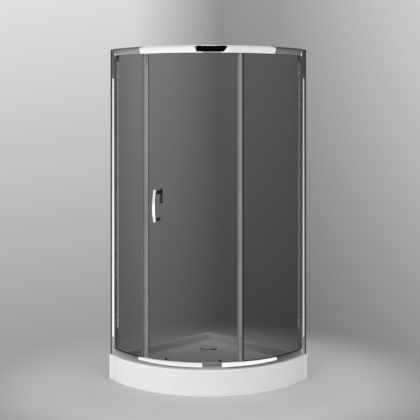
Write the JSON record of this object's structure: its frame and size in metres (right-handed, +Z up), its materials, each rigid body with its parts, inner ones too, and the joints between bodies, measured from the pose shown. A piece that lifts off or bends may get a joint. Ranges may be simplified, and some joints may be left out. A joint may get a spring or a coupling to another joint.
{
  "type": "corner shower enclosure",
  "caption": "Corner shower enclosure with a curved front: white tray, chrome rails and posts, grey glass, and a curved sliding door with a bow handle.",
  "frame": {"origin": "centre of the square footprint, on the floor", "axes": "+Z up; the room's corner is at -X +Y, the walls are at -X and +Y, the curved front faces +X -Y"},
  "size_m": [0.8999, 0.8999, 2.05],
  "materials": {
    "tray_acrylic": "gloss",
    "chrome": "polished",
    "cap_plastic": "satin",
    "aluminium": "anodised dark grey",
    "grey_glass": "toughened",
    "seal_vinyl": "satin",
    "rubber": "matt",
    "gasket_grey": "matt",
    "infill_grey": "satin",
    "black_plastic": "matt",
    "wheel_nylon": "satin",
    "steel": "bright",
    "zinc_steel": "zinc coated",
    "chrome_cap": "polished",
    "washer_nylon": "satin",
    "waste_plastic": "satin"
  },
  "bodies": {
    "base": {"bottom_gasket_left": "rubber", "bottom_gasket_right": "rubber", "bottom_infill": "infill_grey", "bottom_rail": "chrome", "door_stops": "rubber", "fixed_glass_left": "grey_glass", "fixed_glass_right": "grey_glass", "foot_pads": "black_plastic", "leg_nuts": "steel", "leg_studs": "steel", "overlap_seal_fixed": "seal_vinyl", "post_cap_left": "cap_plastic", "post_cap_right": "cap_plastic", "post_gasket_left": "gasket_grey", "post_gasket_right": "gasket_grey", "post_left": "chrome", "post_right": "chrome", "post_screws": "steel", "rail_screws": "steel", "strike_seal": "seal_vinyl", "support_bar_front": "zinc_steel", "support_bar_rear": "zinc_steel", "top_gasket_left": "rubber", "top_gasket_right": "rubber", "top_infill": "infill_grey", "top_rail": "chrome", "tray_apron": "tray_acrylic", "tray_shell": "tray_acrylic", "wall_channel_left": "aluminium", "wall_channel_right": "aluminium", "waste_body": "waste_plastic", "waste_flange": "chrome_cap", "waste_gasket": "rubber"},
    "door": {"bottom_carrier_left": "black_plastic", "bottom_carrier_right": "black_plastic", "bottom_spring_left": "steel", "bottom_spring_right": "steel", "carrier_screws": "steel", "door_drip_seal": "seal_vinyl", "door_glass": "grey_glass", "door_magnet_seal": "seal_vinyl", "handle_bolts": "steel", "handle_bow_outer": "chrome", "handle_nut": "chrome_cap", "handle_pull_inner": "chrome", "handle_spacers": "black_plastic", "handle_washers": "washer_nylon", "overlap_seal_door": "seal_vinyl", "top_axles": "steel", "top_cap_nuts": "chrome_cap"},
    "top_wheel_left": {"top_wheel_left": "wheel_nylon"},
    "bottom_slider_left": {"bottom_slider_left": "black_plastic", "bottom_axle_left": "steel"},
    "bottom_wheel_left": {"bottom_wheel_left": "wheel_nylon"},
    "top_wheel_right": {"top_wheel_right": "wheel_nylon"},
    "bottom_slider_right": {"bottom_slider_right": "black_plastic", "bottom_axle_right": "steel"},
    "bottom_wheel_right": {"bottom_wheel_right": "wheel_nylon"},
    "waste_cover": {"waste_cover": "tray_acrylic"}
  },
  "joints": [
    {"name": "door_slide", "type": "hinge", "parent": "base", "child": "door", "pos_m": [-0.225, 0.225, 0.15], "axis": [0, 0, 1], "range_deg": [0, 38]},
    {"name": "top_wheel_left_spin", "type": "hinge", "parent": "door", "child": "top_wheel_left", "pos_m": [0.0152, -0.37253, 2.0278], "axis": [0.373, -0.9278, 0], "continuous": true},
    {"name": "bottom_release_left", "type": "slide", "parent": "door", "child": "bottom_slider_left", "axis": [0, 0, -1], "range_m": [0, 0.004], "stiffness_N_per_m": 1000, "springref_m": -0.004, "deforming": ["bottom_spring_left"]},
    {"name": "bottom_wheel_left_spin", "type": "hinge", "parent": "bottom_slider_left", "child": "bottom_wheel_left", "pos_m": [0.0152, -0.37253, 0.1747], "axis": [0.373, -0.9278, 0], "continuous": true},
    {"name": "top_wheel_right_spin", "type": "hinge", "parent": "door", "child": "top_wheel_right", "pos_m": [0.2776, -0.17766, 2.0278], "axis": [0.7804, -0.6252, 0], "continuous": true},
    {"name": "bottom_release_right", "type": "slide", "parent": "door", "child": "bottom_slider_right", "axis": [0, 0, -1], "range_m": [0, 0.004], "stiffness_N_per_m": 1000, "springref_m": -0.004, "deforming": ["bottom_spring_right"]},
    {"name": "bottom_wheel_right_spin", "type": "hinge", "parent": "bottom_slider_right", "child": "bottom_wheel_right", "pos_m": [0.2776, -0.17766, 0.1747], "axis": [0.7804, -0.6252, 0], "continuous": true},
    {"name": "waste_cover_lift", "type": "slide", "parent": "base", "child": "waste_cover", "axis": [0, 0, 1], "range_m": [0, 0.06]}
  ],
  "couplings": [
    {"joint": "top_wheel_left_spin", "follows": "door_slide", "ratio": -67.79},
    {"joint": "bottom_wheel_left_spin", "follows": "door_slide", "ratio": 92},
    {"joint": "top_wheel_right_spin", "follows": "door_slide", "ratio": -67.79},
    {"joint": "bottom_wheel_right_spin", "follows": "door_slide", "ratio": 92}
  ]
}
